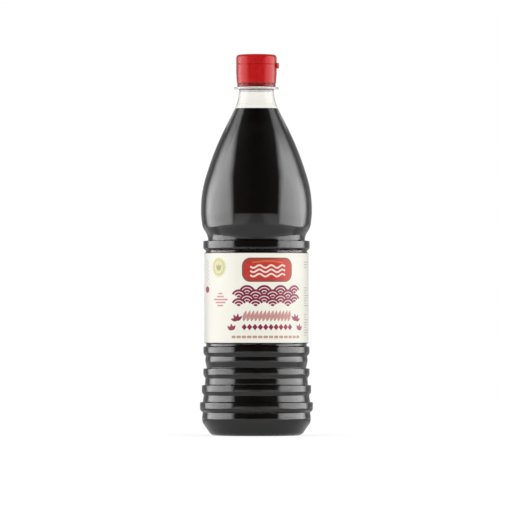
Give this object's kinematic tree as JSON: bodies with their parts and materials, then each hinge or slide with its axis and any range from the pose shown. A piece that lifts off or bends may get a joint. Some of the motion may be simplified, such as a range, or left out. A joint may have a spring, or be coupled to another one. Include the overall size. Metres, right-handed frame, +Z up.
{
  "type": "teriyaki sauce bottle",
  "caption": "Clear bottle of dark sauce with a full, bulb-like shoulder, a waist, a wrap-round label panel, a hooped lower body and a shut red flip-top closure.",
  "frame": {"origin": "middle of the base, on the plane that the bottle stands on", "axes": "+Z up along the bottle, -Y towards the front of the label, +X towards the thumb tab of the closure"},
  "size_m": [0.0842, 0.0842, 0.284],
  "materials": {
    "clear_shell": "clear blown PET, glossy",
    "sauce": "opaque near-black brown liquid",
    "label": "coated cream label, satin",
    "closure": "moulded red polypropylene, satin gloss"
  },
  "bodies": {
    "root": {"bottle": "clear_shell", "sauce": "sauce", "label": "label", "tamper_band": "closure", "cap": "closure"}
  },
  "joints": []
}
